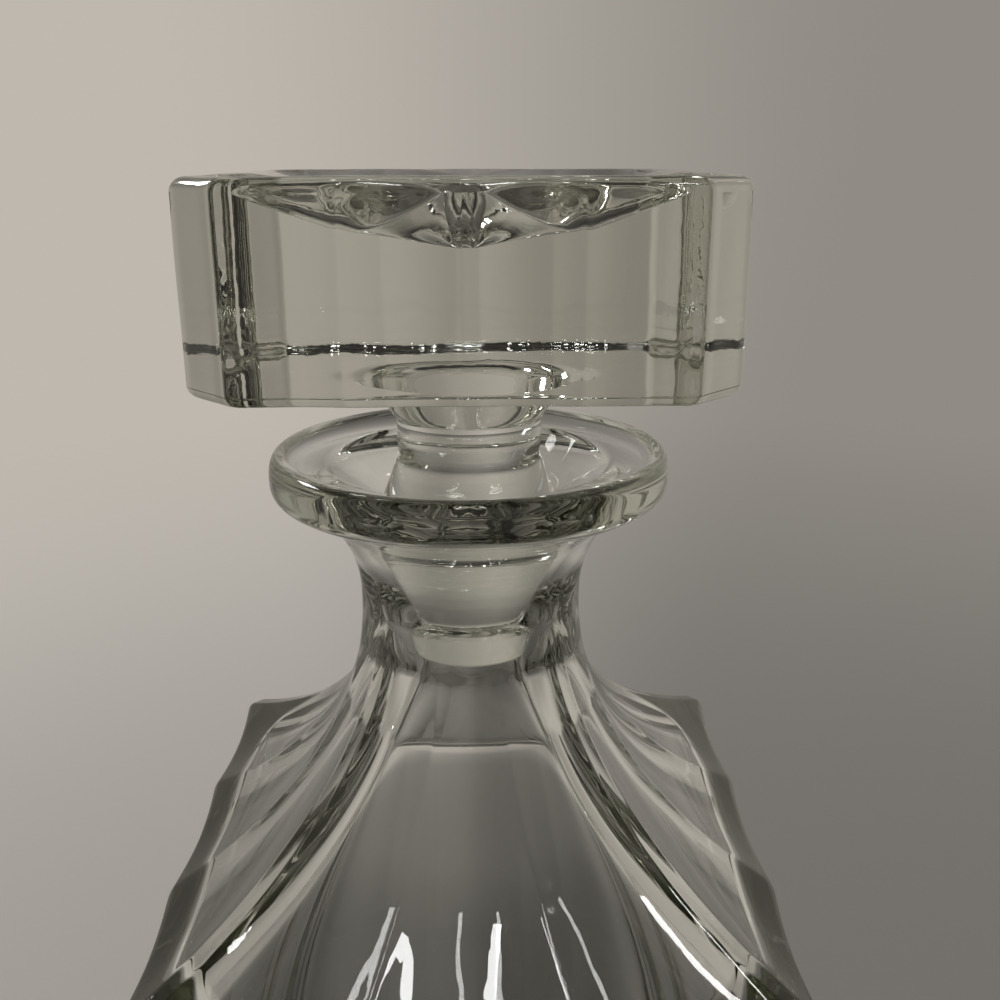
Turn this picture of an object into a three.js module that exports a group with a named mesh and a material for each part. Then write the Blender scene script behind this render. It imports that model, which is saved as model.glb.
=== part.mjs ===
import * as THREE from 'three';

// A square decanter of clear glass with a ground-in stopper, in millimetres, +Z up.
// The origin is the centre of the base, and the front side faces -Y.
// Both pieces are lofted through rings of points round the upright axis.

// Body
const bodyWidth = 90;
const shoulderHeight = 127.5;
const cornerBevel = 2.4;
const fluteDepth = 0.9;
const flutesPerSide = 3;
const footRadius = 1.2;
const shoulderEdgeRadius = 3;

// Shoulder, which sweeps from the square edge up to the round neck
const shoulderRise = 40.2;
const shoulderSweep = 50;
const shoulderSquaring = 0.75;
const fluteFade = 0.6;
const neckDiameter = 32.2;
const neckStraight = 1.5;

// Collar, a rim with its crest near the outside, and inside it a dish, a funnel, a cone and the bore
const collarDiameter = 56.6;
const flareRise = 14.8;
const flareSweep = 75;
const rimWidth = 7.6;
const rimThickness = 6.6;
const rimSquaring = 0.75;
const rollStart = -80;
const rollEnd = 110;
const crestInset = 1.8;
const dishDiameter = 40;
const dishDrop = 1.9;
const funnelCurve = 1.4;
const coneDiameter = 27.8;
const coneLength = 13.5;
const boreDiameter = 20;
const boreLength = 7.9;
const boreRun = 2;
const throatCurve = 1.5;
const throatLeast = 3.6;

// Inside of the body
const wallThickness = 6.2;
const baseThickness = 14;
const floorRadius = 7;
const cavitySquareness = 7;
const cavitySquaring = 1.2;

// Plug of the stopper, and the waisted stem that joins it to the head
const plugReach = 30;
const plugLength = 22;
const plugTopDiameter = 25.5;
const plugEndDiameter = 19.2;
const plugBarrel = 6;
const plugEndBevel = 1.3;
const waistDiameter = 20.3;
const waistDepth = 0.9;
const stemDiameter = 20.8;
const stemRise = 4.6;
const rootWidth = 3.6;
const rootRise = 6;
const rootCurve = 0.84;
const filletRise = 1.7;
const filletRadius = 3;
const filletStart = 25.5;

// Head of the stopper
const headWidth = 64.6;
const headHeight = 25.1;
const headChamfer = 8;
const headTopEdge = 1.8;
const headBottomEdge = 1.9;
const panelDepth = 0.35;
const panelsPerSide = 4;

// Star hollow in the top of the head: a valley to each corner, in two slopes, and a ridge to each side
const starDepth = 8.9;
const starSlope = 0.126;
const leafSlope = 0.264;
const leafReach = 43.7;
const leafTaperStart = 20;
const leafTaperEnd = 41;
const leafTaperLeast = 0.01;
const ridgeReach = 28;
const ridgeBend = 0.45;
const valleyFlank = 1.4;

// Fineness of the mesh
const sides = 4;
const fluteSteps = 5;
const panelSteps = 4;
const bendSteps = 2;
const sweepSteps = 9;
const flareSteps = 5;
const rollSteps = 10;
const funnelSteps = 5;
const throatSteps = 3;
const floorSteps = 3;
const rootSteps = 3;
const filletSteps = 3;
const starSteps = 10;

// Heights worked out from the sizes above
const bodyHalf = bodyWidth / 2;
const headHalf = headWidth / 2;
const neckRadius = neckDiameter / 2;
const neckBottom = shoulderHeight + shoulderRise;
const flareBottom = neckBottom + neckStraight;
const rimCentre = flareBottom + flareRise + rimThickness / 2;
const collarTop = rimCentre + rimThickness / 2;
const plugEnd = collarTop - plugReach;
const plugTop = plugEnd + plugLength;
const boreEnd = plugEnd - boreRun;
const boreTop = boreEnd + boreLength;
const coneTop = boreTop + coneLength;
const waist = collarTop - waistDepth;
const stemTop = collarTop + stemRise;
const filletBottom = stemTop + rootRise;
const headBottom = filletBottom + filletRise;
const headTop = headBottom + headHeight;
const radians = Math.PI / 180;
const rootRadius = stemDiameter / 2 + rootWidth + filletRadius * Math.cos(filletStart * radians);
const upright = { out: 1, up: 0 };
const midRound = 1 - Math.SQRT1_2;

function mix(a, b, share) {
  return a + (b - a) * share;
}

function steps(count) {
  return Array.from({ length: count + 1 }, (_, i) => i / count);
}

// Distance from the axis to a side of a section that is round at 0 and square at 1.
function sectionRadius(half, squareness, angle) {
  return half * (1 - squareness + squareness / Math.cos(angle));
}

// One ring: four sides with hollow flutes between sharp ridges, and a bevel at each corner.
// The flutes sink along the profile's own normal, so they run on over the shoulder.
function flutedRing({ half, height, squareness, bevel, flutes, perFlute, depth, normal }) {
  const bevelAngle = Math.atan(1 - bevel / Math.SQRT2 / half);
  const count = flutes * perFlute;
  const points = [];
  for (let side = 0; side < sides; side += 1) {
    const turn = side * Math.PI / 2 - Math.PI / 2;
    for (let i = 0; i <= count; i += 1) {
      const across = 2 * i / count - 1;
      const flat = Math.atan(across * Math.tan(bevelAngle));
      const angle = mix(across * bevelAngle, flat, squareness);
      const within = 2 * (i % perFlute) / perFlute - 1;
      const sunk = depth * (1 - within * within);
      const radius = sectionRadius(half, squareness, angle);
      const out = radius * Math.cos(angle) - sunk * normal.out;
      const along = radius * Math.sin(angle);
      const x = out * Math.cos(turn) - along * Math.sin(turn);
      const y = out * Math.sin(turn) + along * Math.cos(turn);
      points.push(new THREE.Vector3(x, y, height - sunk * normal.up));
    }
  }
  return points;
}

function bodyRing(half, height, squareness, depth = 0, normal = upright) {
  const bevel = cornerBevel;
  const flutes = flutesPerSide;
  return flutedRing({ half, height, squareness, bevel, flutes, perFlute: fluteSteps, depth, normal });
}

function roundBodyRing(radius, height) {
  return bodyRing(radius, height, 0);
}

// The cavity has plain sides and well rounded corners, at the same angles as the outer rings.
function cavityRing(half, height, squareness) {
  const power = cavitySquareness;
  return roundBodyRing(half, height).map((point) => {
    const cosine = Math.abs(point.x / half) ** power;
    const sine = Math.abs(point.y / half) ** power;
    const reach = mix(1, (cosine + sine) ** (-1 / power), squareness);
    return new THREE.Vector3(point.x * reach, point.y * reach, height);
  });
}

function headRing(half, height, depth, normal = upright) {
  const bevel = headChamfer;
  const flutes = panelsPerSide;
  return flutedRing({ half, height, squareness: 1, bevel, flutes, perFlute: panelSteps, depth, normal });
}

function roundHeadRing(radius, height) {
  return flutedRing({
    half: radius, height, squareness: 0, bevel: headChamfer * radius / headHalf,
    flutes: panelsPerSide, perFlute: panelSteps, depth: 0, normal: upright,
  });
}

// A closed skin through the rings, with a point on the axis at each end.
function loft(start, rings, end) {
  const count = rings[0].length;
  const positions = [start, ...rings.flat(), end].flatMap((point) => [point.x, point.y, point.z]);
  const last = positions.length / 3 - 1;
  const at = (ring, i) => 1 + ring * count + (i % count);
  const index = [];
  for (let i = 0; i < count; i += 1) {
    index.push(0, at(0, i + 1), at(0, i));
    for (let ring = 0; ring < rings.length - 1; ring += 1) {
      index.push(at(ring, i), at(ring, i + 1), at(ring + 1, i + 1));
      index.push(at(ring, i), at(ring + 1, i + 1), at(ring + 1, i));
    }
    index.push(last, at(rings.length - 1, i), at(rings.length - 1, i + 1));
  }
  const geometry = new THREE.BufferGeometry();
  geometry.setAttribute('position', new THREE.Float32BufferAttribute(positions, 3));
  geometry.setIndex(index);
  geometry.computeVertexNormals();
  return geometry;
}

function onAxis(height) {
  return new THREE.Vector3(0, 0, height);
}

// Part of an ellipse, which starts upright at the inner radius and ends at the given angle round it.
function sweep(innerRadius, outerRadius, rise, endAngle, share) {
  const angle = share * endAngle;
  const reach = (outerRadius - innerRadius) / (1 - Math.cos(endAngle));
  const drop = rise / Math.sin(endAngle);
  const tangent = Math.hypot(reach * Math.sin(angle), drop * Math.cos(angle));
  return {
    radius: innerRadius + reach * (1 - Math.cos(angle)),
    drop: drop * Math.sin(angle),
    normal: { out: drop * Math.cos(angle) / tangent, up: reach * Math.sin(angle) / tangent },
  };
}

function footRings() {
  const flat = bodyHalf - footRadius;
  const bend = steps(bendSteps).map((share) => {
    const angle = share * Math.PI / 2;
    const half = flat + footRadius * Math.sin(angle);
    return bodyRing(half, footRadius * (1 - Math.cos(angle)), 1, fluteDepth);
  });
  return [bodyRing(flat / 2, 0, 1), ...bend];
}

const shoulderSlope = sweep(neckRadius, bodyHalf, shoulderRise, shoulderSweep * radians, 1).normal;
const shoulderEdge = bodyHalf - shoulderEdgeRadius * (1 - shoulderSlope.out);

// A spot on the sweep of the shoulder, from the neck at 0 to the edge at 1.
function shoulderSpot(share) {
  const spot = sweep(neckRadius, shoulderEdge, shoulderRise, shoulderSweep * radians, share);
  return { ...spot, squareness: (spot.drop / shoulderRise) ** shoulderSquaring };
}

// The shoulder's edge is a round that ends where the sweep up to the neck begins.
function shoulderRings() {
  const turn = Math.atan2(shoulderSlope.up, shoulderSlope.out);
  const round = steps(bendSteps).slice(0, -1).map((share) => {
    const angle = turn * share;
    const normal = { out: Math.cos(angle), up: Math.sin(angle) };
    const half = bodyHalf - shoulderEdgeRadius * (1 - normal.out);
    const height = shoulderHeight - shoulderEdgeRadius * (shoulderSlope.up - normal.up);
    return bodyRing(half, height, 1, fluteDepth, normal);
  });
  const rise = steps(sweepSteps).reverse().map(shoulderSpot).map((spot) => {
    const spread = (spot.radius - neckRadius) / (shoulderEdge - neckRadius);
    const depth = fluteDepth * spread ** fluteFade;
    return bodyRing(spot.radius, neckBottom - spot.drop, spot.squareness, depth, spot.normal);
  });
  return [...round, ...rise];
}

// The rim's section is a rounded rectangle, narrower above, which the flare runs into from below.
function rimSpot(angle) {
  const cosine = Math.cos(angle * radians);
  const sine = Math.sin(angle * radians);
  const inset = angle > 0 ? crestInset : rimWidth / 2;
  return {
    radius: collarDiameter / 2 - inset * (1 - Math.sign(cosine) * Math.abs(cosine) ** rimSquaring),
    height: rimCentre + rimThickness / 2 * Math.sign(sine) * Math.abs(sine) ** rimSquaring,
  };
}

function collarRings() {
  const under = rimSpot(rollStart);
  const flare = steps(flareSteps).slice(0, -1).map((share) => {
    const spot = sweep(neckRadius, under.radius, under.height - flareBottom, flareSweep * radians, share);
    return roundBodyRing(spot.radius, flareBottom + spot.drop);
  });
  const roll = steps(rollSteps).map((share) => {
    const spot = rimSpot(mix(rollStart, rollEnd, share));
    return roundBodyRing(spot.radius, spot.height);
  });
  return [...flare, ...roll];
}

function boreRings() {
  const dishHeight = collarTop - dishDrop;
  const funnel = steps(funnelSteps).reverse().map((share) => {
    const radius = mix(coneDiameter / 2, dishDiameter / 2, share ** funnelCurve);
    return roundBodyRing(radius, mix(coneTop, dishHeight, share));
  });
  const bore = [boreTop, boreEnd].map((height) => roundBodyRing(boreDiameter / 2, height));
  return [...funnel, ...bore];
}

// The cavity opens out of the bore in a throat. Under the shoulder it keeps an even wall,
// and is rounder than the outside there.
function cavityRings() {
  const half = bodyHalf - wallThickness;
  const inner = steps(sweepSteps).map(shoulderSpot).map((spot) => ({
    radius: Math.min(half, spot.radius - wallThickness * spot.normal.out),
    height: neckBottom - spot.drop - wallThickness * spot.normal.up,
    squareness: spot.squareness ** cavitySquaring,
  }));
  const below = inner.filter((spot) => spot.height < boreEnd - throatLeast);
  const throat = steps(throatSteps).slice(1, -1).map((share) => {
    const radius = mix(boreDiameter / 2, below[0].radius, share ** throatCurve);
    return cavityRing(radius, mix(boreEnd, below[0].height, share), below[0].squareness * share);
  });
  const shoulder = below.map((spot) => cavityRing(spot.radius, spot.height, spot.squareness));
  const floor = steps(floorSteps).map((share) => {
    const angle = share * Math.PI / 2;
    const inset = floorRadius * (1 - Math.cos(angle));
    return cavityRing(half - inset, baseThickness + floorRadius * (1 - Math.sin(angle)), 1);
  });
  return [...throat, ...shoulder, ...floor, cavityRing((half - floorRadius) / 2, baseThickness, 1)];
}

// Depth of the star hollow. Each valley narrows into a leaf as it nears its corner.
function starSink(x, y) {
  const radius = Math.hypot(x, y);
  const fromCorner = Math.abs(((Math.atan2(y, x) / (Math.PI / 4)) % 2 + 2) % 2 - 1);
  const valley = Math.min(starDepth - starSlope * radius, leafSlope * (leafReach - radius));
  const ridge = Math.max(0, starDepth * (1 - (radius / ridgeReach) ** ridgeBend));
  const taper = (leafTaperEnd - radius) / (leafTaperEnd - leafTaperStart);
  const width = Math.min(1, Math.max(leafTaperLeast, taper));
  return Math.max(0, mix(valley, ridge, Math.min(1, fromCorner / width) ** valleyFlank));
}

function headTopRings() {
  const rim = headRing(headHalf - headTopEdge, headTop, panelDepth);
  const hollow = steps(starSteps).slice(1, -1).map((share) => rim.map((point) => {
    const x = point.x * share;
    const y = point.y * share;
    return new THREE.Vector3(x, y, headTop - starSink(x, y));
  }));
  return [...hollow, rim];
}

function stopperRings() {
  const endRadius = plugEndDiameter / 2;
  const root = steps(rootSteps).map((share) => {
    const radius = stemDiameter / 2 + rootWidth * share ** rootCurve;
    return roundHeadRing(radius, mix(stemTop, filletBottom, share));
  });
  const fillet = steps(filletSteps).slice(1).map((share) => {
    const angle = mix(filletStart, 90, share) * radians;
    const height = headBottom - filletRadius * (1 - Math.sin(angle));
    return roundHeadRing(rootRadius - filletRadius * Math.cos(angle), height);
  });
  return [
    roundHeadRing(endRadius - plugEndBevel, plugEnd),
    roundHeadRing(endRadius, plugEnd + plugEndBevel),
    roundHeadRing(endRadius, plugEnd + plugBarrel),
    roundHeadRing(plugTopDiameter / 2, plugTop),
    roundHeadRing(waistDiameter / 2, waist),
    ...root,
    ...fillet,
    headRing(headHalf - headBottomEdge, headBottom, panelDepth),
    headRing(headHalf, headBottom + headBottomEdge, panelDepth),
    headRing(headHalf, headTop - headTopEdge, panelDepth),
    headRing(headHalf - headTopEdge * midRound, headTop - headTopEdge * midRound, panelDepth),
    ...headTopRings().reverse(),
  ];
}

function glass(color) {
  const clear = { transparent: true, opacity: 0.4 };
  return new THREE.MeshStandardMaterial({ color, roughness: 0.05, metalness: 0, ...clear });
}

function node(name, geometry, material) {
  const mesh = new THREE.Mesh(geometry, material);
  mesh.name = name;
  return mesh;
}

const bodySkin = [
  ...footRings(), ...shoulderRings(), ...collarRings(), ...boreRings(), ...cavityRings(),
];
const bodyGeometry = loft(onAxis(0), bodySkin, onAxis(baseThickness));
const stopperGeometry = loft(onAxis(plugEnd), stopperRings(), onAxis(headTop - starDepth));

const decanter = new THREE.Group();
decanter.add(node('decanter_body', bodyGeometry, glass(0xd8dcd4)));
decanter.add(node('stopper', stopperGeometry, glass(0xe2e4e0)));

export default decanter;
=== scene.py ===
"""A square whisky decanter of clear fluted glass, with its block stopper in the neck."""
import math

import bpy
from mathutils import Matrix, Vector, noise


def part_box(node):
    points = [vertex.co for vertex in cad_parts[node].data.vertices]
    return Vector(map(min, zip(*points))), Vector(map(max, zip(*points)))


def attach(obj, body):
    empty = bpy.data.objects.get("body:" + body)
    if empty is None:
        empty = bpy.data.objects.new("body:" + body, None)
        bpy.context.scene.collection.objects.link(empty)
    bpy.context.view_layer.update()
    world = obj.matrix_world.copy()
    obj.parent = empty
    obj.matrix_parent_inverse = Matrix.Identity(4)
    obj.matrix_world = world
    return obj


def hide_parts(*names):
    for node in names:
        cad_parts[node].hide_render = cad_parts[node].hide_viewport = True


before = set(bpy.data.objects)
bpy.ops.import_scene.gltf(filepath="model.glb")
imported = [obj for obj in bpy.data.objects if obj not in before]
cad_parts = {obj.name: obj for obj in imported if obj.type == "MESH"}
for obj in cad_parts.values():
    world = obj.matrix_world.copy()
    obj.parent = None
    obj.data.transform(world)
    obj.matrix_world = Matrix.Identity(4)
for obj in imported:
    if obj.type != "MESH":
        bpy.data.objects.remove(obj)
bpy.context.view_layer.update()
bpy.ops.object.select_all(action="DESELECT")

MM = 0.001
SIDES = 4
EIGHTH = math.pi / 4

# Places read off the CAD nodes, in millimetres
body_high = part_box("decanter_body")[1] / MM
stopper_low, stopper_high = (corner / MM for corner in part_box("stopper"))
body_half = body_high.x
collar_top = body_high.z
head_half = stopper_high.x
head_top = stopper_high.z
plug_end = stopper_low.z

# Body and shoulder
shoulder_height = 127.5
corner_bevel = 2.4
flute_depth = 0.9
flutes_per_side = 3
foot_radius = 1.2
shoulder_edge_radius = 3
shoulder_rise = 40.2
shoulder_sweep = 50
shoulder_squaring = 0.75
flute_fade = 0.6
neck_radius = 16.1
neck_straight = 1.5

# Collar
collar_half = 28.3
rim_width = 7.6
rim_thickness = 6.6
rim_squaring = 0.75
crest_inset = 1.8
roll_start, roll_end = -80, 110
flare_sweep = 75

# Inside
wall_thickness = 6.2
base_thickness = 14
floor_radius = 7
cavity_squareness = 7
cavity_squaring = 1.2
dish_radius, dish_drop = 20, 1.9
funnel_curve = 1.4
cone_radius, cone_length = 13.9, 13.5
bore_radius, bore_length = 10, 7.9
bore_run = 2
throat_curve, throat_least = 1.5, 7.4

# Stopper
plug_top_radius, plug_end_radius = 12.75, 9.6
plug_length, plug_barrel = 22, 6
plug_end_bevel = 1.3
stem_foot_radius, stem_foot_height = 10.15, 189.7
stem_radius, stem_top = 10.4, 195.2
root_width, root_curve = 3.6, 0.84
fillet_height, fillet_radius, fillet_start = 1.7, 3, 25.5
head_bottom = 202.9
head_chamfer = 8
head_top_edge, head_bottom_edge = 1.8, 1.9
panel_depth = 0.35
panels_per_side = 4
star_depth, star_slope = 8.9, 0.126
leaf_slope, leaf_reach = 0.264, 43.7
leaf_tip, leaf_wall = 39, 24
taper_start, taper_end, taper_least = 20, 41, 0.01
ridge_reach, ridge_bend = 28, 0.45
valley_flank = 1.4

# Fineness: vertices round each side, and the share of them that lies on the corner's bevel
side_steps = 72
bevel_share = 0.1

# Points nearer than the weld are one point, and a ring smaller than the pole is a point on the axis
weld, pole = 0.001, 0.01

# Fineness: how many rings each stretch of a profile gets
foot_rings, foot_bend_rings, wall_rings, edge_rings, shoulder_rings = 8, 6, 20, 8, 48
flare_rings, roll_rings = 20, 40
dish_rings, funnel_rings, cone_rings, bore_rings = 8, 20, 14, 8
throat_rings, inner_wall_rings, inner_bend_rings, inner_floor_rings = 10, 14, 10, 8
plug_end_rings, plug_bevel_rings, barrel_rings, taper_rings = 6, 5, 5, 12
plug_slope_rings, stem_rings, root_rings, fillet_rings = 8, 6, 16, 10
under_rings, head_bend_rings, head_wall_rings, top_bend_rings, star_rings = 12, 6, 16, 8, 56

# Softness of the ridges and corners, and the ripples of the fire-polished glass
ridge_round = 0.05
body_corner_power, head_corner_power = 420, 160
ripple_length, ripple_fade = 9, 15
body_ripple, body_seed = 0.05, 3
stopper_ripple, stopper_seed = 0.16, 11

# Worked out
neck_bottom = shoulder_height + shoulder_rise
flare_bottom = neck_bottom + neck_straight
rim_centre = collar_top - rim_thickness / 2
plug_top = plug_end + plug_length
bore_end = plug_end - bore_run
bore_top = bore_end + bore_length
cone_top = bore_top + cone_length
fillet_bottom = head_bottom - fillet_height
root_radius = stem_radius + root_width + fillet_radius * math.cos(math.radians(fillet_start))
UPRIGHT = (1, 0)


def mix(a, b, share):
    return a + (b - a) * share


def shares(count):
    return [i / count for i in range(count + 1)]


class Station:
    """One ring of a piece: how wide and how high it is, how square, and how deep its flutes are."""

    def __init__(self, half, height, squareness=0, depth=0, normal=UPRIGHT):
        self.half, self.height, self.squareness = half, height, squareness
        self.depth, self.normal = depth, normal


def sweep(inner, outer, rise, end_angle, share):
    """Part of an ellipse that starts upright: radius, drop and outward normal."""
    angle = share * end_angle
    reach = (outer - inner) / (1 - math.cos(end_angle))
    drop = rise / math.sin(end_angle)
    tangent = math.hypot(reach * math.sin(angle), drop * math.cos(angle))
    normal = (drop * math.cos(angle) / tangent, reach * math.sin(angle) / tangent)
    return inner + reach * (1 - math.cos(angle)), drop * math.sin(angle), normal


def foot_stations():
    flat = body_half - foot_radius
    inner = [Station(flat * share, 0, 1, flute_depth * share) for share in shares(foot_rings)]
    bend = []
    for share in shares(foot_bend_rings)[1:]:
        angle = share * math.pi / 2
        half = flat + foot_radius * math.sin(angle)
        bend.append(Station(half, foot_radius * (1 - math.cos(angle)), 1, flute_depth))
    return inner + bend


def shoulder_stations():
    end_angle = math.radians(shoulder_sweep)
    slope = sweep(neck_radius, body_half, shoulder_rise, end_angle, 1)[2]
    turn = math.atan2(slope[1], slope[0])
    edge = body_half - shoulder_edge_radius * (1 - slope[0])
    wall_top = shoulder_height - shoulder_edge_radius * slope[1]
    walls = [
        Station(body_half, mix(foot_radius, wall_top, share), 1, flute_depth)
        for share in shares(wall_rings)[1:-1]
    ]
    rounded = []
    for share in shares(edge_rings)[:-1]:
        normal = (math.cos(turn * share), math.sin(turn * share))
        half = body_half - shoulder_edge_radius * (1 - normal[0])
        height = shoulder_height - shoulder_edge_radius * (slope[1] - normal[1])
        rounded.append(Station(half, height, 1, flute_depth, normal))
    rise = []
    for share in reversed(shares(shoulder_rings)):
        radius, drop, normal = sweep(neck_radius, edge, shoulder_rise, end_angle, share)
        spread = (radius - neck_radius) / (edge - neck_radius)
        squareness = (drop / shoulder_rise) ** shoulder_squaring
        depth = flute_depth * spread ** flute_fade
        rise.append(Station(radius, neck_bottom - drop, squareness, depth, normal))
    return walls + rounded + rise


def rim_spot(angle):
    cosine, sine = math.cos(math.radians(angle)), math.sin(math.radians(angle))
    out = math.copysign(abs(cosine) ** rim_squaring, cosine)
    up = math.copysign(abs(sine) ** rim_squaring, sine)
    inset = crest_inset if angle > 0 else rim_width / 2
    return collar_half - inset * (1 - out), rim_centre + rim_thickness / 2 * up


def collar_stations():
    under_radius, under_height = rim_spot(roll_start)
    flare_rise = under_height - flare_bottom
    flare = []
    for share in shares(flare_rings)[:-1]:
        radius, rise, _ = sweep(neck_radius, under_radius, flare_rise, math.radians(flare_sweep), share)
        flare.append(Station(radius, flare_bottom + rise))
    roll = [Station(*rim_spot(mix(roll_start, roll_end, share))) for share in shares(roll_rings)]
    return flare + roll


def bore_stations():
    """The inside of the collar runs down in a dish, a funnel and a cone to the straight bore."""
    lip_radius, lip_height = rim_spot(roll_end)
    dish_height = collar_top - dish_drop
    dish = [
        Station(mix(dish_radius, lip_radius, share), mix(dish_height, lip_height, share))
        for share in reversed(shares(dish_rings)[:-1])
    ]
    funnel = [
        Station(mix(cone_radius, dish_radius, share ** funnel_curve), mix(cone_top, dish_height, share))
        for share in reversed(shares(funnel_rings)[:-1])
    ]
    cone = [
        Station(mix(bore_radius, cone_radius, share), mix(bore_top, cone_top, share))
        for share in reversed(shares(cone_rings)[:-1])
    ]
    bore = [
        Station(bore_radius, mix(bore_end, bore_top, share))
        for share in reversed(shares(bore_rings)[1:-1])
    ]
    return dish + funnel + cone + bore


def cavity_stations():
    """The cavity opens out of the bore in a throat, and keeps an even wall under the shoulder."""
    half = body_half - wall_thickness
    stations = []
    for outer in reversed(shoulder_stations()):
        radius = outer.half - wall_thickness * outer.normal[0]
        height = outer.height - wall_thickness * outer.normal[1]
        if height < bore_end - throat_least and radius < half:
            stations.append(Station(radius, height, outer.squareness))
    lip = stations[0]
    throat = [
        Station(
            mix(bore_radius, lip.half, share ** throat_curve), mix(bore_end, lip.height, share),
            lip.squareness * share,
        )
        for share in shares(throat_rings)[:-1]
    ]
    stations = throat + stations
    floor_top = base_thickness + floor_radius
    bottom = stations[-1].height
    stations += [
        Station(half, mix(bottom, floor_top, share), 1) for share in shares(inner_wall_rings)[1:-1]
    ]
    for share in shares(inner_bend_rings):
        angle = share * math.pi / 2
        inset = floor_radius * (1 - math.cos(angle))
        stations.append(Station(half - inset, floor_top - floor_radius * math.sin(angle), 1))
    flat = half - floor_radius
    flat_rings = reversed(shares(inner_floor_rings)[:-1])
    return stations + [Station(flat * share, base_thickness, 1) for share in flat_rings]


def spin_profile(name, stations, steps):
    """A closed skin: the stations' profile is drawn point by point and spun round the axis."""
    bpy.ops.mesh.primitive_plane_add(size=1)
    piece = bpy.context.object
    piece.name = piece.data.name = name
    bpy.ops.object.mode_set(mode="EDIT")
    bpy.ops.mesh.merge(type="CENTER")
    # Edit mode is left and entered again, so that the next vertices keep the order they are drawn in
    bpy.ops.object.mode_set(mode="OBJECT")
    bpy.ops.object.mode_set(mode="EDIT")
    first = stations[0]
    bpy.ops.transform.translate(value=(first.half * MM, 0, first.height * MM))
    for before, after in zip(stations, stations[1:]):
        move = ((after.half - before.half) * MM, 0, (after.height - before.height) * MM)
        bpy.ops.mesh.extrude_vertices_move(TRANSFORM_OT_translate={"value": move})
    bpy.ops.object.mode_set(mode="OBJECT")
    mark = piece.data.attributes.new("station", "INT", "POINT")
    mark.data.foreach_set("value", list(range(len(stations))))
    bpy.ops.object.mode_set(mode="EDIT")
    bpy.ops.mesh.select_all(action="SELECT")
    bpy.ops.mesh.spin(steps=steps, angle=2 * math.pi, center=(0, 0, 0), axis=(0, 0, 1))
    bpy.ops.mesh.select_all(action="SELECT")
    bpy.ops.mesh.remove_doubles(threshold=weld * MM)
    bpy.ops.mesh.normals_make_consistent(inside=False)
    bpy.ops.object.mode_set(mode="OBJECT")
    return piece


def side_place(angle):
    """Which side an angle is on, and where along it: -1 to 1 over the flutes, beyond that on the bevel."""
    side = round(angle / (2 * EIGHTH))
    along = (angle - side * 2 * EIGHTH) / EIGHTH
    return side, along / (1 - bevel_share)


def flute_place(along, flutes):
    """Where a point is across the side, from -1 to 1, gathered at the ridges, and how far it sinks."""
    place = (along + 1) / 2 * flutes
    flute = min(max(math.floor(place), 0), flutes - 1)
    within = math.sin((2 * (place - flute) - 1) * math.pi / 2)
    rise = math.hypot(1 - abs(within), ridge_round) - ridge_round
    return 2 * (flute + (within + 1) / 2) / flutes - 1, rise * (2 - rise)


def fluted_point(station, angle, bevel, flutes, corner_power):
    """A point of the squared section: four fluted sides, and a bevel with softened edges at each corner."""
    side, along = side_place(angle)
    bevel_angle = math.atan(1 - bevel / math.sqrt(2) / station.half)
    if abs(along) > 1:
        share = (abs(along) - 1) / (1 / (1 - bevel_share) - 1)
        turned = math.copysign(mix(bevel_angle, EIGHTH, share), along)
        sunk = 0
    else:
        across, sink = flute_place(along, flutes)
        flat = math.atan(across * math.tan(bevel_angle))
        turned = mix(across * bevel_angle, flat, station.squareness)
        sunk = station.depth * sink
    wall = 1 / math.cos(turned)
    facet = math.cos(EIGHTH - bevel_angle) / math.cos(bevel_angle) / math.cos(EIGHTH - abs(turned))
    square = (wall ** -corner_power + facet ** -corner_power) ** (-1 / corner_power)
    radius = station.half * mix(1, square, station.squareness)
    out, over = radius * math.cos(turned) - sunk * station.normal[0], radius * math.sin(turned)
    turn = side * 2 * EIGHTH
    x = out * math.cos(turn) - over * math.sin(turn)
    y = out * math.sin(turn) + over * math.cos(turn)
    return x, y, station.height - sunk * station.normal[1]


def cavity_point(station, angle):
    """A point of the cavity: plain sides with well rounded corners."""
    cosine, sine = math.cos(angle), math.sin(angle)
    corner = (abs(cosine) ** cavity_squareness + abs(sine) ** cavity_squareness) ** (-1 / cavity_squareness)
    radius = station.half * mix(1, corner, station.squareness ** cavity_squaring)
    return radius * cosine, radius * sine, station.height


def shape_rings(piece, place):
    """Moves every vertex of a spun skin to its place, which depends on its station and its angle."""
    marks = piece.data.attributes["station"].data
    for vertex, mark in zip(piece.data.vertices, marks):
        angle = math.atan2(vertex.co.y, vertex.co.x)
        vertex.co = Vector(place(mark.value, angle)) * MM
    piece.data.attributes.remove(piece.data.attributes["station"])
    piece.data.update()


def ripple(piece, depth, seed, flat_below):
    """Fire-polished glass is never quite flat: above the base, each point sinks a little."""
    normals = [vertex.normal.copy() for vertex in piece.data.vertices]
    for vertex, normal in zip(piece.data.vertices, normals):
        fade = min(1, max(0, (vertex.co.z / MM - flat_below) / ripple_fade))
        wave = noise.noise(vertex.co / (ripple_length * MM) + Vector((seed, 0, 0)))
        vertex.co -= normal * depth * MM * fade * (0.5 + 0.5 * wave)
    piece.data.update()


def smooth(piece):
    for face in piece.data.polygons:
        face.use_smooth = True
    bpy.ops.object.select_all(action="DESELECT")


def make_body():
    outside = foot_stations() + shoulder_stations() + collar_stations() + bore_stations()
    inside = cavity_stations()
    stations = outside + inside
    piece = spin_profile("glass_body", stations, SIDES * side_steps)

    def place(index, angle):
        station = stations[index]
        if station.half < pole:
            return 0, 0, station.height
        if index >= len(outside):
            return cavity_point(station, angle)
        return fluted_point(station, angle, corner_bevel, flutes_per_side, body_corner_power)

    shape_rings(piece, place)
    ripple(piece, body_ripple, body_seed, base_thickness + floor_radius)
    smooth(piece)
    return piece


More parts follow.
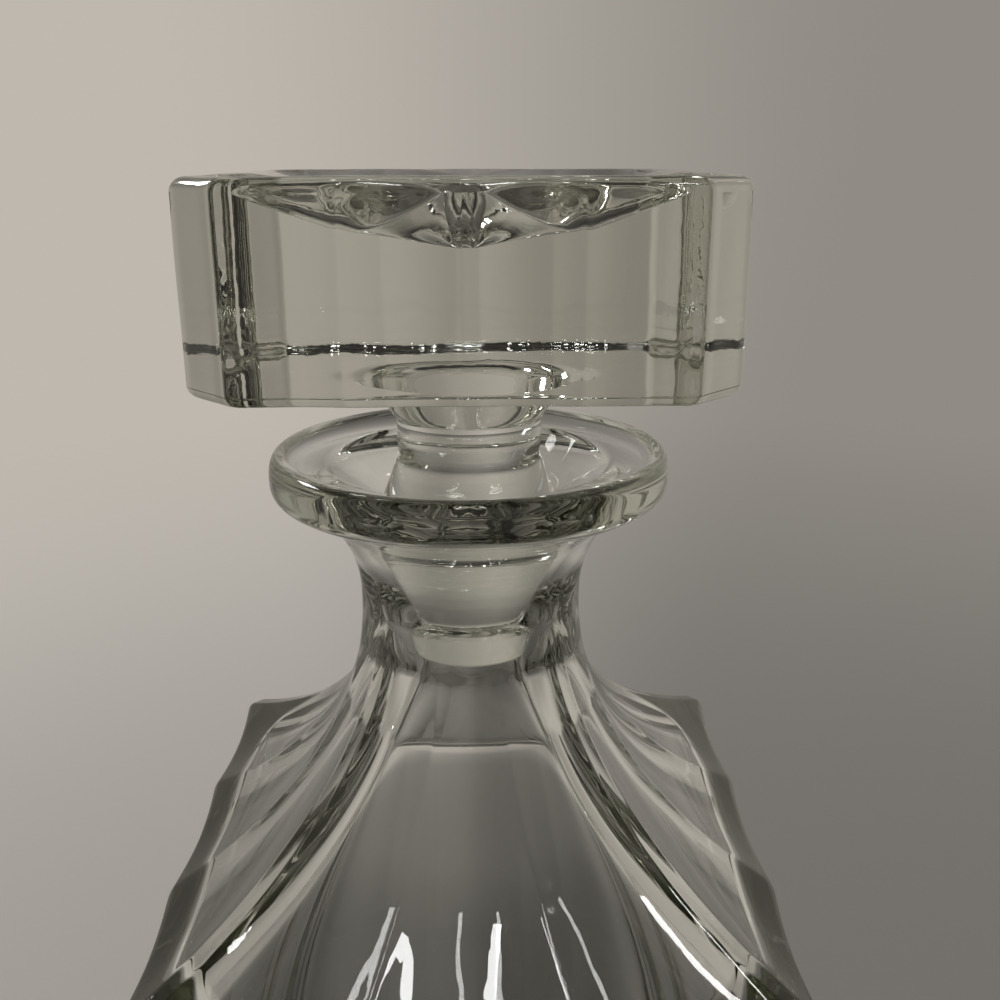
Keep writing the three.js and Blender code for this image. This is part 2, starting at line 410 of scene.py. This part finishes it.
def star_sink(x, y):
    """Depth of the star hollow: a valley in two slopes to each corner, and a ridge to each side."""
    radius = math.hypot(x, y)
    from_corner = abs((math.atan2(y, x) / EIGHTH) % 2 - 1)
    valley = min(star_depth - star_slope * radius, leaf_slope * (leaf_reach - radius))
    ridge = max(0, star_depth * (1 - (radius / ridge_reach) ** ridge_bend))
    taper = min(1, max(taper_least, (taper_end - radius) / (taper_end - taper_start)))
    flank = min(1, from_corner / taper) ** valley_flank
    return max(0, mix(valley * (1 - (radius / leaf_tip) ** leaf_wall), ridge, flank))


def stopper_stations():
    end_flat = plug_end_radius - plug_end_bevel
    plug = [Station(share * end_flat, plug_end) for share in shares(plug_end_rings)]
    for share in shares(plug_bevel_rings)[1:]:
        angle = share * math.pi / 2
        radius = end_flat + plug_end_bevel * math.sin(angle)
        plug.append(Station(radius, plug_end + plug_end_bevel * (1 - math.cos(angle))))
    barrel_top = plug_end + plug_barrel
    barrel = [
        Station(plug_end_radius, mix(plug_end + plug_end_bevel, barrel_top, share))
        for share in shares(barrel_rings)[1:]
    ]
    taper = barrel + [
        Station(mix(plug_end_radius, plug_top_radius, share), mix(barrel_top, plug_top, share))
        for share in shares(taper_rings)[1:]
    ]
    cone = [
        Station(mix(plug_top_radius, stem_foot_radius, share), mix(plug_top, stem_foot_height, share))
        for share in shares(plug_slope_rings)[1:]
    ]
    stem = cone + [
        Station(mix(stem_foot_radius, stem_radius, share), mix(stem_foot_height, stem_top, share))
        for share in shares(stem_rings)[1:]
    ]
    for share in shares(root_rings)[1:]:
        radius = stem_radius + root_width * share ** root_curve
        stem.append(Station(radius, mix(stem_top, fillet_bottom, share)))
    for share in shares(fillet_rings)[1:]:
        angle = math.radians(mix(fillet_start, 90, share))
        height = head_bottom - fillet_radius * (1 - math.sin(angle))
        stem.append(Station(root_radius - fillet_radius * math.cos(angle), height))
    flat = head_half - head_bottom_edge
    under = [
        Station(mix(root_radius, flat, share), head_bottom, share, panel_depth * share)
        for share in shares(under_rings)[1:]
    ]
    head = []
    for share in shares(head_bend_rings)[1:]:
        angle = share * math.pi / 2
        half = flat + head_bottom_edge * math.sin(angle)
        head.append(Station(half, head_bottom + head_bottom_edge * (1 - math.cos(angle)), 1, panel_depth))
    wall_bottom, wall_top = head_bottom + head_bottom_edge, head_top - head_top_edge
    head += [
        Station(head_half, mix(wall_bottom, wall_top, share), 1, panel_depth)
        for share in shares(head_wall_rings)[1:]
    ]
    for share in shares(top_bend_rings)[1:]:
        angle = share * math.pi / 2
        half = head_half - head_top_edge * (1 - math.cos(angle))
        head.append(Station(half, wall_top + head_top_edge * math.sin(angle), 1, panel_depth))
    rim = head_half - head_top_edge
    top = [
        Station(rim * share, head_top, 1, panel_depth * share)
        for share in reversed(shares(star_rings)[:-1])
    ]
    return plug + taper + stem + under + head, top


def make_stopper():
    lower, top = stopper_stations()
    stations = lower + top
    piece = spin_profile("glass_stopper", stations, SIDES * side_steps)

    def place(index, angle):
        station = stations[index]
        if station.half < pole:
            sink = star_depth if index >= len(lower) else 0
            return 0, 0, station.height - sink
        bevel = head_chamfer * station.half / head_half
        x, y, z = fluted_point(station, angle, bevel, panels_per_side, head_corner_power)
        return x, y, z - (star_sink(x, y) if index >= len(lower) else 0)

    shape_rings(piece, place)
    ripple(piece, stopper_ripple, stopper_seed, plug_end - ripple_fade)
    smooth(piece)
    return piece


# Tones of the backdrop, floor and room
PALE = (0.45, 0.417, 0.372)
DARK = (0.012, 0.012, 0.012)
ROOM = (0.5, 0.51, 0.53)

# The floor, in metres: painted shade makes its tone sink from far to near, and it fades into the backdrop
# further out
FLOOR_SIZE, FLOOR_SIDES, FLOOR_GAP = 30.0, 96, 0.0001
SHADE_STRAIGHT, SHADE_IN_GLASS = 0.85, 0.38
SHADE_NEAR, SHADE_FAR = 0.12, 0.6
FADE_START, FADE_END = 0.2, 0.9

# The backdrop, by direction: a dark ceiling, painted shade falling off to the right, and a painted dark
# reflection on the right for turned light
CEILING_INNER, CEILING_OUTER = 0.88, 0.7
FALLOFF_START, FALLOFF_END = -0.3, 0.35
FALLOFF_LEFT, FALLOFF_RIGHT = 1.15, 0.62
# Painted light and shade in turns across the backdrop, seen only through the glass
GLASS_WAVE, GLASS_DARK, GLASS_LIGHT = -7.85, 0.7, 1.1
# Painted dark reflection: a dark patch on the right, met only by light that has turned inside the glass
PAINTED_DARK_DIRECTION = (0.87, -0.49, 0.0)
PAINTED_DARK_INNER, PAINTED_DARK_OUTER = 0.95, 0.85

# Glass
REFRACTION = 1.52
ABSORPTION = 14
POLISH_STRENGTH = 0.5
TINT_DROP = 0.985
LIGHT_STEPS = 32


def node(material, kind, **values):
    made = material.node_tree.nodes.new(kind)
    for name, value in values.items():
        setattr(made, name, value)
    return made


def new_material(name):
    material = bpy.data.materials.new(name)
    material.use_nodes = True
    material.node_tree.nodes.clear()
    return material


def ripple_group():
    """A height for fire-polished glass: long soft waves with finer drag marks in them."""
    group = bpy.data.node_groups.new("Fire polish", "ShaderNodeTree")
    for name, value in (("Wave size", 90), ("Mark size", 420), ("Mark share", 0.2)):
        socket = group.interface.new_socket(name, in_out="INPUT", socket_type="NodeSocketFloat")
        socket.default_value = value
    group.interface.new_socket("Height", in_out="OUTPUT", socket_type="NodeSocketFloat")
    nodes, links = group.nodes, group.links
    entry, leave = nodes.new("NodeGroupInput"), nodes.new("NodeGroupOutput")
    place = nodes.new("ShaderNodeTexCoord")
    waves, marks = nodes.new("ShaderNodeTexNoise"), nodes.new("ShaderNodeTexNoise")
    blend = nodes.new("ShaderNodeMix")
    links.new(place.outputs["Object"], waves.inputs["Vector"])
    links.new(place.outputs["Object"], marks.inputs["Vector"])
    links.new(entry.outputs["Wave size"], waves.inputs["Scale"])
    links.new(entry.outputs["Mark size"], marks.inputs["Scale"])
    links.new(entry.outputs["Mark share"], blend.inputs[0])
    links.new(waves.outputs[0], blend.inputs[2])
    links.new(marks.outputs[0], blend.inputs[3])
    links.new(blend.outputs[0], leave.inputs["Height"])
    return group


def glass_material(name, group, tint, deep_tint, wave_size, mark_share, depth):
    material = new_material(name)
    links = material.node_tree.links
    polish = node(material, "ShaderNodeGroup", node_tree=group)
    polish.inputs["Wave size"].default_value = wave_size
    polish.inputs["Mark share"].default_value = mark_share
    bump = node(material, "ShaderNodeBump")
    bump.inputs["Distance"].default_value = depth * MM
    bump.inputs["Strength"].default_value = POLISH_STRENGTH
    shade = node(material, "ShaderNodeMix", data_type="RGBA")
    shade.inputs[6].default_value = (*tint, 1)
    shade.inputs[7].default_value = (*[part * TINT_DROP for part in tint], 1)
    surface = node(material, "ShaderNodeBsdfPrincipled")
    surface.inputs["Roughness"].default_value = 0.0
    surface.inputs["IOR"].default_value = REFRACTION
    surface.inputs["Transmission Weight"].default_value = 1.0
    body = node(material, "ShaderNodeVolumeAbsorption")
    body.inputs["Color"].default_value = (*deep_tint, 1)
    body.inputs["Density"].default_value = ABSORPTION
    output = node(material, "ShaderNodeOutputMaterial")
    links.new(polish.outputs["Height"], bump.inputs["Height"])
    links.new(polish.outputs["Height"], shade.inputs[0])
    links.new(shade.outputs[2], surface.inputs["Base Color"])
    links.new(bump.outputs["Normal"], surface.inputs["Normal"])
    links.new(surface.outputs["BSDF"], output.inputs["Surface"])
    links.new(body.outputs["Volume"], output.inputs["Volume"])
    return material


def background_ray(material_or_world):
    """1 where the background itself is looked at: straight, in a reflection or through the glass."""
    tree = material_or_world.node_tree
    rays = tree.nodes.new("ShaderNodeLightPath")
    first = tree.nodes.new("ShaderNodeMath")
    second = tree.nodes.new("ShaderNodeMath")
    for adder in (first, second):
        adder.operation = "ADD"
        adder.use_clamp = True
    tree.links.new(rays.outputs["Is Camera Ray"], first.inputs[0])
    tree.links.new(rays.outputs["Is Glossy Ray"], first.inputs[1])
    tree.links.new(first.outputs[0], second.inputs[0])
    tree.links.new(rays.outputs["Is Transmission Ray"], second.inputs[1])
    return second.outputs[0]


def falloff(tree, direction):
    """Painted shade: the pale tone falls off towards the right. In the glass it comes back further out
    on each side as painted light and shade, and where light has turned inside the glass, it meets a
    painted dark reflection on the right.
    """
    rays = tree.nodes.new("ShaderNodeLightPath")
    # Painted light and shade in turns across the backdrop, for rays that are not camera rays
    split = tree.nodes.new("ShaderNodeSeparateXYZ")
    turn = tree.nodes.new("ShaderNodeMath")
    turn.operation = "MULTIPLY"
    turn.inputs[1].default_value = GLASS_WAVE
    wave = tree.nodes.new("ShaderNodeMath")
    wave.operation = "SINE"
    in_glass = tree.nodes.new("ShaderNodeMapRange")
    in_glass.inputs["From Min"].default_value = -1
    in_glass.inputs["To Min"].default_value = GLASS_DARK
    in_glass.inputs["To Max"].default_value = GLASS_LIGHT
    choice = tree.nodes.new("ShaderNodeMapRange")
    # Painted dark reflection on the right, where light has turned inside the glass
    facing = tree.nodes.new("ShaderNodeVectorMath")
    facing.operation = "DOT_PRODUCT"
    facing.inputs[1].default_value = PAINTED_DARK_DIRECTION
    painted_dark = tree.nodes.new("ShaderNodeMapRange")
    painted_dark.interpolation_type = "SMOOTHSTEP"
    painted_dark.inputs["From Min"].default_value = PAINTED_DARK_INNER
    painted_dark.inputs["From Max"].default_value = PAINTED_DARK_OUTER
    turned = tree.nodes.new("ShaderNodeMath")
    turned.operation = "GREATER_THAN"
    turned.inputs[1].default_value = 0.5
    clear = tree.nodes.new("ShaderNodeMapRange")
    clear.inputs["To Min"].default_value = 1
    both = tree.nodes.new("ShaderNodeMath")
    both.operation = "MULTIPLY"
    # Painted shade: the tone seen straight falls off towards the right
    amount = tree.nodes.new("ShaderNodeMapRange")
    amount.interpolation_type = "SMOOTHSTEP"
    amount.inputs["From Min"].default_value = FALLOFF_START
    amount.inputs["From Max"].default_value = FALLOFF_END
    amount.inputs["To Min"].default_value = FALLOFF_LEFT
    amount.inputs["To Max"].default_value = FALLOFF_RIGHT
    tree.links.new(direction, split.inputs[0])
    tree.links.new(split.outputs["X"], amount.inputs["Value"])
    tree.links.new(split.outputs["X"], turn.inputs[0])
    tree.links.new(turn.outputs[0], wave.inputs[0])
    tree.links.new(wave.outputs[0], in_glass.inputs["Value"])
    tree.links.new(rays.outputs["Is Camera Ray"], choice.inputs["Value"])
    tree.links.new(in_glass.outputs["Result"], choice.inputs["To Min"])
    tree.links.new(amount.outputs["Result"], choice.inputs["To Max"])
    tree.links.new(direction, facing.inputs[0])
    tree.links.new(facing.outputs["Value"], painted_dark.inputs["Value"])
    tree.links.new(rays.outputs["Glossy Depth"], turned.inputs[0])
    tree.links.new(turned.outputs[0], clear.inputs["Value"])
    tree.links.new(painted_dark.outputs["Result"], clear.inputs["To Max"])
    tree.links.new(choice.outputs["Result"], both.inputs[0])
    tree.links.new(clear.outputs["Result"], both.inputs[1])
    return both.outputs[0]


def foot_shade(material, distance):
    """Painted shade: the pale tone sinks towards the decanter's foot, more so in the glass than looked at
    straight.
    """
    links = material.node_tree.links
    rays = node(material, "ShaderNodeLightPath")
    least = node(material, "ShaderNodeMapRange")
    least.inputs["To Min"].default_value = SHADE_IN_GLASS
    least.inputs["To Max"].default_value = SHADE_STRAIGHT
    gather = node(material, "ShaderNodeMapRange", interpolation_type="SMOOTHSTEP")
    gather.inputs["From Min"].default_value = SHADE_NEAR
    gather.inputs["From Max"].default_value = SHADE_FAR
    place = node(material, "ShaderNodeTexCoord")
    direction = node(material, "ShaderNodeVectorMath", operation="NORMALIZE")
    both = node(material, "ShaderNodeMath", operation="MULTIPLY")
    tone = node(material, "ShaderNodeVectorMath", operation="SCALE")
    tone.inputs[0].default_value = PALE
    links.new(place.outputs["Object"], direction.inputs[0])
    links.new(rays.outputs["Is Camera Ray"], least.inputs["Value"])
    links.new(distance.outputs["Value"], gather.inputs["Value"])
    links.new(least.outputs["Result"], gather.inputs["To Min"])
    links.new(gather.outputs["Result"], both.inputs[0])
    links.new(falloff(material.node_tree, direction.outputs[0]), both.inputs[1])
    links.new(both.outputs[0], tone.inputs["Scale"])
    return tone.outputs[0]


def floor_material():
    """Pale paper near the decanter, darkened by painted shade towards its foot, which fades into the
    backdrop further out.
    """
    material = new_material("Pale floor")
    links = material.node_tree.links
    place = node(material, "ShaderNodeTexCoord")
    distance = node(material, "ShaderNodeVectorMath", operation="LENGTH")
    tone = foot_shade(material, distance)
    paper = node(material, "ShaderNodeBsdfDiffuse")
    plain = node(material, "ShaderNodeEmission")
    links.new(tone, paper.inputs["Color"])
    links.new(tone, plain.inputs["Color"])
    fade = node(material, "ShaderNodeMapRange", interpolation_type="SMOOTHSTEP")
    fade.inputs["From Min"].default_value = FADE_START
    fade.inputs["From Max"].default_value = FADE_END
    seen = node(material, "ShaderNodeMath", operation="MULTIPLY")
    blend = node(material, "ShaderNodeMixShader")
    output = node(material, "ShaderNodeOutputMaterial")
    links.new(place.outputs["Object"], distance.inputs[0])
    links.new(distance.outputs["Value"], fade.inputs["Value"])
    links.new(fade.outputs["Result"], seen.inputs[0])
    links.new(background_ray(material), seen.inputs[1])
    links.new(seen.outputs[0], blend.inputs[0])
    links.new(paper.outputs[0], blend.inputs[1])
    links.new(plain.outputs[0], blend.inputs[2])
    links.new(blend.outputs[0], output.inputs["Surface"])
    return material


def make_floor():
    """The floor lies a tenth of a millimetre under the base, so that the two faces stay apart."""
    bpy.ops.mesh.primitive_circle_add(
        vertices=FLOOR_SIDES, radius=FLOOR_SIZE, fill_type="NGON", location=(0, 0, -FLOOR_GAP)
    )
    floor = bpy.context.object
    floor.name = "floor"
    floor.data.materials.append(floor_material())
    bpy.ops.object.select_all(action="DESELECT")


def make_world():
    """A pale backdrop to look at, with painted shade towards the right, under a dark ceiling, and a soft
    dim room to be lit by.
    """
    world = bpy.data.worlds.new("Studio")
    bpy.context.scene.world = world
    world.use_nodes = True
    tree = world.node_tree
    tree.nodes.clear()
    plain = tree.nodes.new("ShaderNodeBackground")
    tone = tree.nodes.new("ShaderNodeVectorMath")
    tone.operation = "SCALE"
    tone.inputs[0].default_value = PALE
    room = tree.nodes.new("ShaderNodeBackground")
    room.inputs["Color"].default_value = (*ROOM, 1)
    place = tree.nodes.new("ShaderNodeTexCoord")
    split = tree.nodes.new("ShaderNodeSeparateXYZ")
    height = tree.nodes.new("ShaderNodeMapRange")
    height.interpolation_type = "SMOOTHSTEP"
    height.inputs["From Min"].default_value = CEILING_INNER
    height.inputs["From Max"].default_value = CEILING_OUTER
    blend = tree.nodes.new("ShaderNodeMixShader")
    output = tree.nodes.new("ShaderNodeOutputWorld")
    dark = tree.nodes.new("ShaderNodeBackground")
    dark.inputs["Color"].default_value = (*DARK, 1)
    above = tree.nodes.new("ShaderNodeMixShader")
    tree.links.new(falloff(tree, place.outputs["Generated"]), tone.inputs["Scale"])
    tree.links.new(tone.outputs[0], plain.inputs["Color"])
    tree.links.new(place.outputs["Generated"], split.inputs[0])
    tree.links.new(split.outputs["Z"], height.inputs["Value"])
    tree.links.new(background_ray(world), above.inputs[0])
    tree.links.new(room.outputs[0], above.inputs[1])
    tree.links.new(height.outputs["Result"], blend.inputs[0])
    tree.links.new(dark.outputs[0], blend.inputs[1])
    tree.links.new(plain.outputs[0], blend.inputs[2])
    tree.links.new(blend.outputs[0], above.inputs[2])
    tree.links.new(above.outputs[0], output.inputs["Surface"])


def soft_box(name, place, width, height, power):
    """A rectangular lamp that looks at the middle of the decanter. Places and sizes are in metres."""
    light = bpy.data.lights.new(name, "AREA")
    light.shape = "RECTANGLE"
    light.size, light.size_y, light.energy = width, height, power
    lamp = bpy.data.objects.new(name, light)
    bpy.context.scene.collection.objects.link(lamp)
    lamp.location = place
    middle = Vector((0, 0, 0.15))
    lamp.rotation_euler = (middle - Vector(place)).to_track_quat("-Z", "Y").to_euler()


def make_lights():
    """A soft key from the left behind, and two narrow strips that draw the streaks on the shoulder."""
    soft_box("key_left", (-0.7, 0.55, 0.9), width=0.3, height=0.3, power=5)
    soft_box("strip_right", (0.1, -0.5, 1.23), width=0.02, height=0.4, power=0.45)
    soft_box("strip_left", (-0.07, -0.5, 1.23), width=0.02, height=0.4, power=0.45)


def make_camera():
    """The photograph's place and angle, found from the proportions of the head, collar and shoulder."""
    picture, focal = 1000, 1086.1
    pitch, roll, heading = 17.625, 0.12, 0.7
    spot = (2.55, -150.23, 230.02)
    data = bpy.data.cameras.new("camera")
    data.sensor_width = 36
    data.lens = data.sensor_width * focal / picture
    camera = bpy.data.objects.new("camera", data)
    bpy.context.scene.collection.objects.link(camera)
    place = Matrix.Translation(Vector(spot) * MM)
    turn = Matrix.Rotation(math.radians(-heading), 4, "Z")
    tilt = Matrix.Rotation(math.radians(90 - pitch), 4, "X")
    camera.matrix_world = place @ turn @ tilt @ Matrix.Rotation(math.radians(-roll), 4, "Z")
    data.clip_start = 0.01
    bpy.context.scene.camera = camera


body = make_body()
stopper = make_stopper()
polish = ripple_group()
body.data.materials.append(glass_material(
    "Body glass", polish, tint=(0.985, 0.99, 0.98), deep_tint=(0.58, 0.60, 0.48),
    wave_size=70, mark_share=0.05, depth=0.1,
))
stopper.data.materials.append(glass_material(
    "Stopper glass", polish, tint=(0.988, 0.99, 0.984), deep_tint=(0.62, 0.63, 0.54),
    wave_size=90, mark_share=0.2, depth=0.15,
))
for piece, owner, part, slot in (
    (body, "vessel", "decanter_body", "body_glass"),
    (stopper, "stopper", "stopper", "stopper_glass"),
):
    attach(piece, owner)
    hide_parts(part)

make_floor()
make_world()
make_lights()
make_camera()
bpy.context.scene.view_settings.view_transform = "Standard"

# Light runs a long way inside thick glass before it leaves it
cycles = bpy.context.scene.cycles
cycles.max_bounces = cycles.transmission_bounces = cycles.glossy_bounces = LIGHT_STEPS
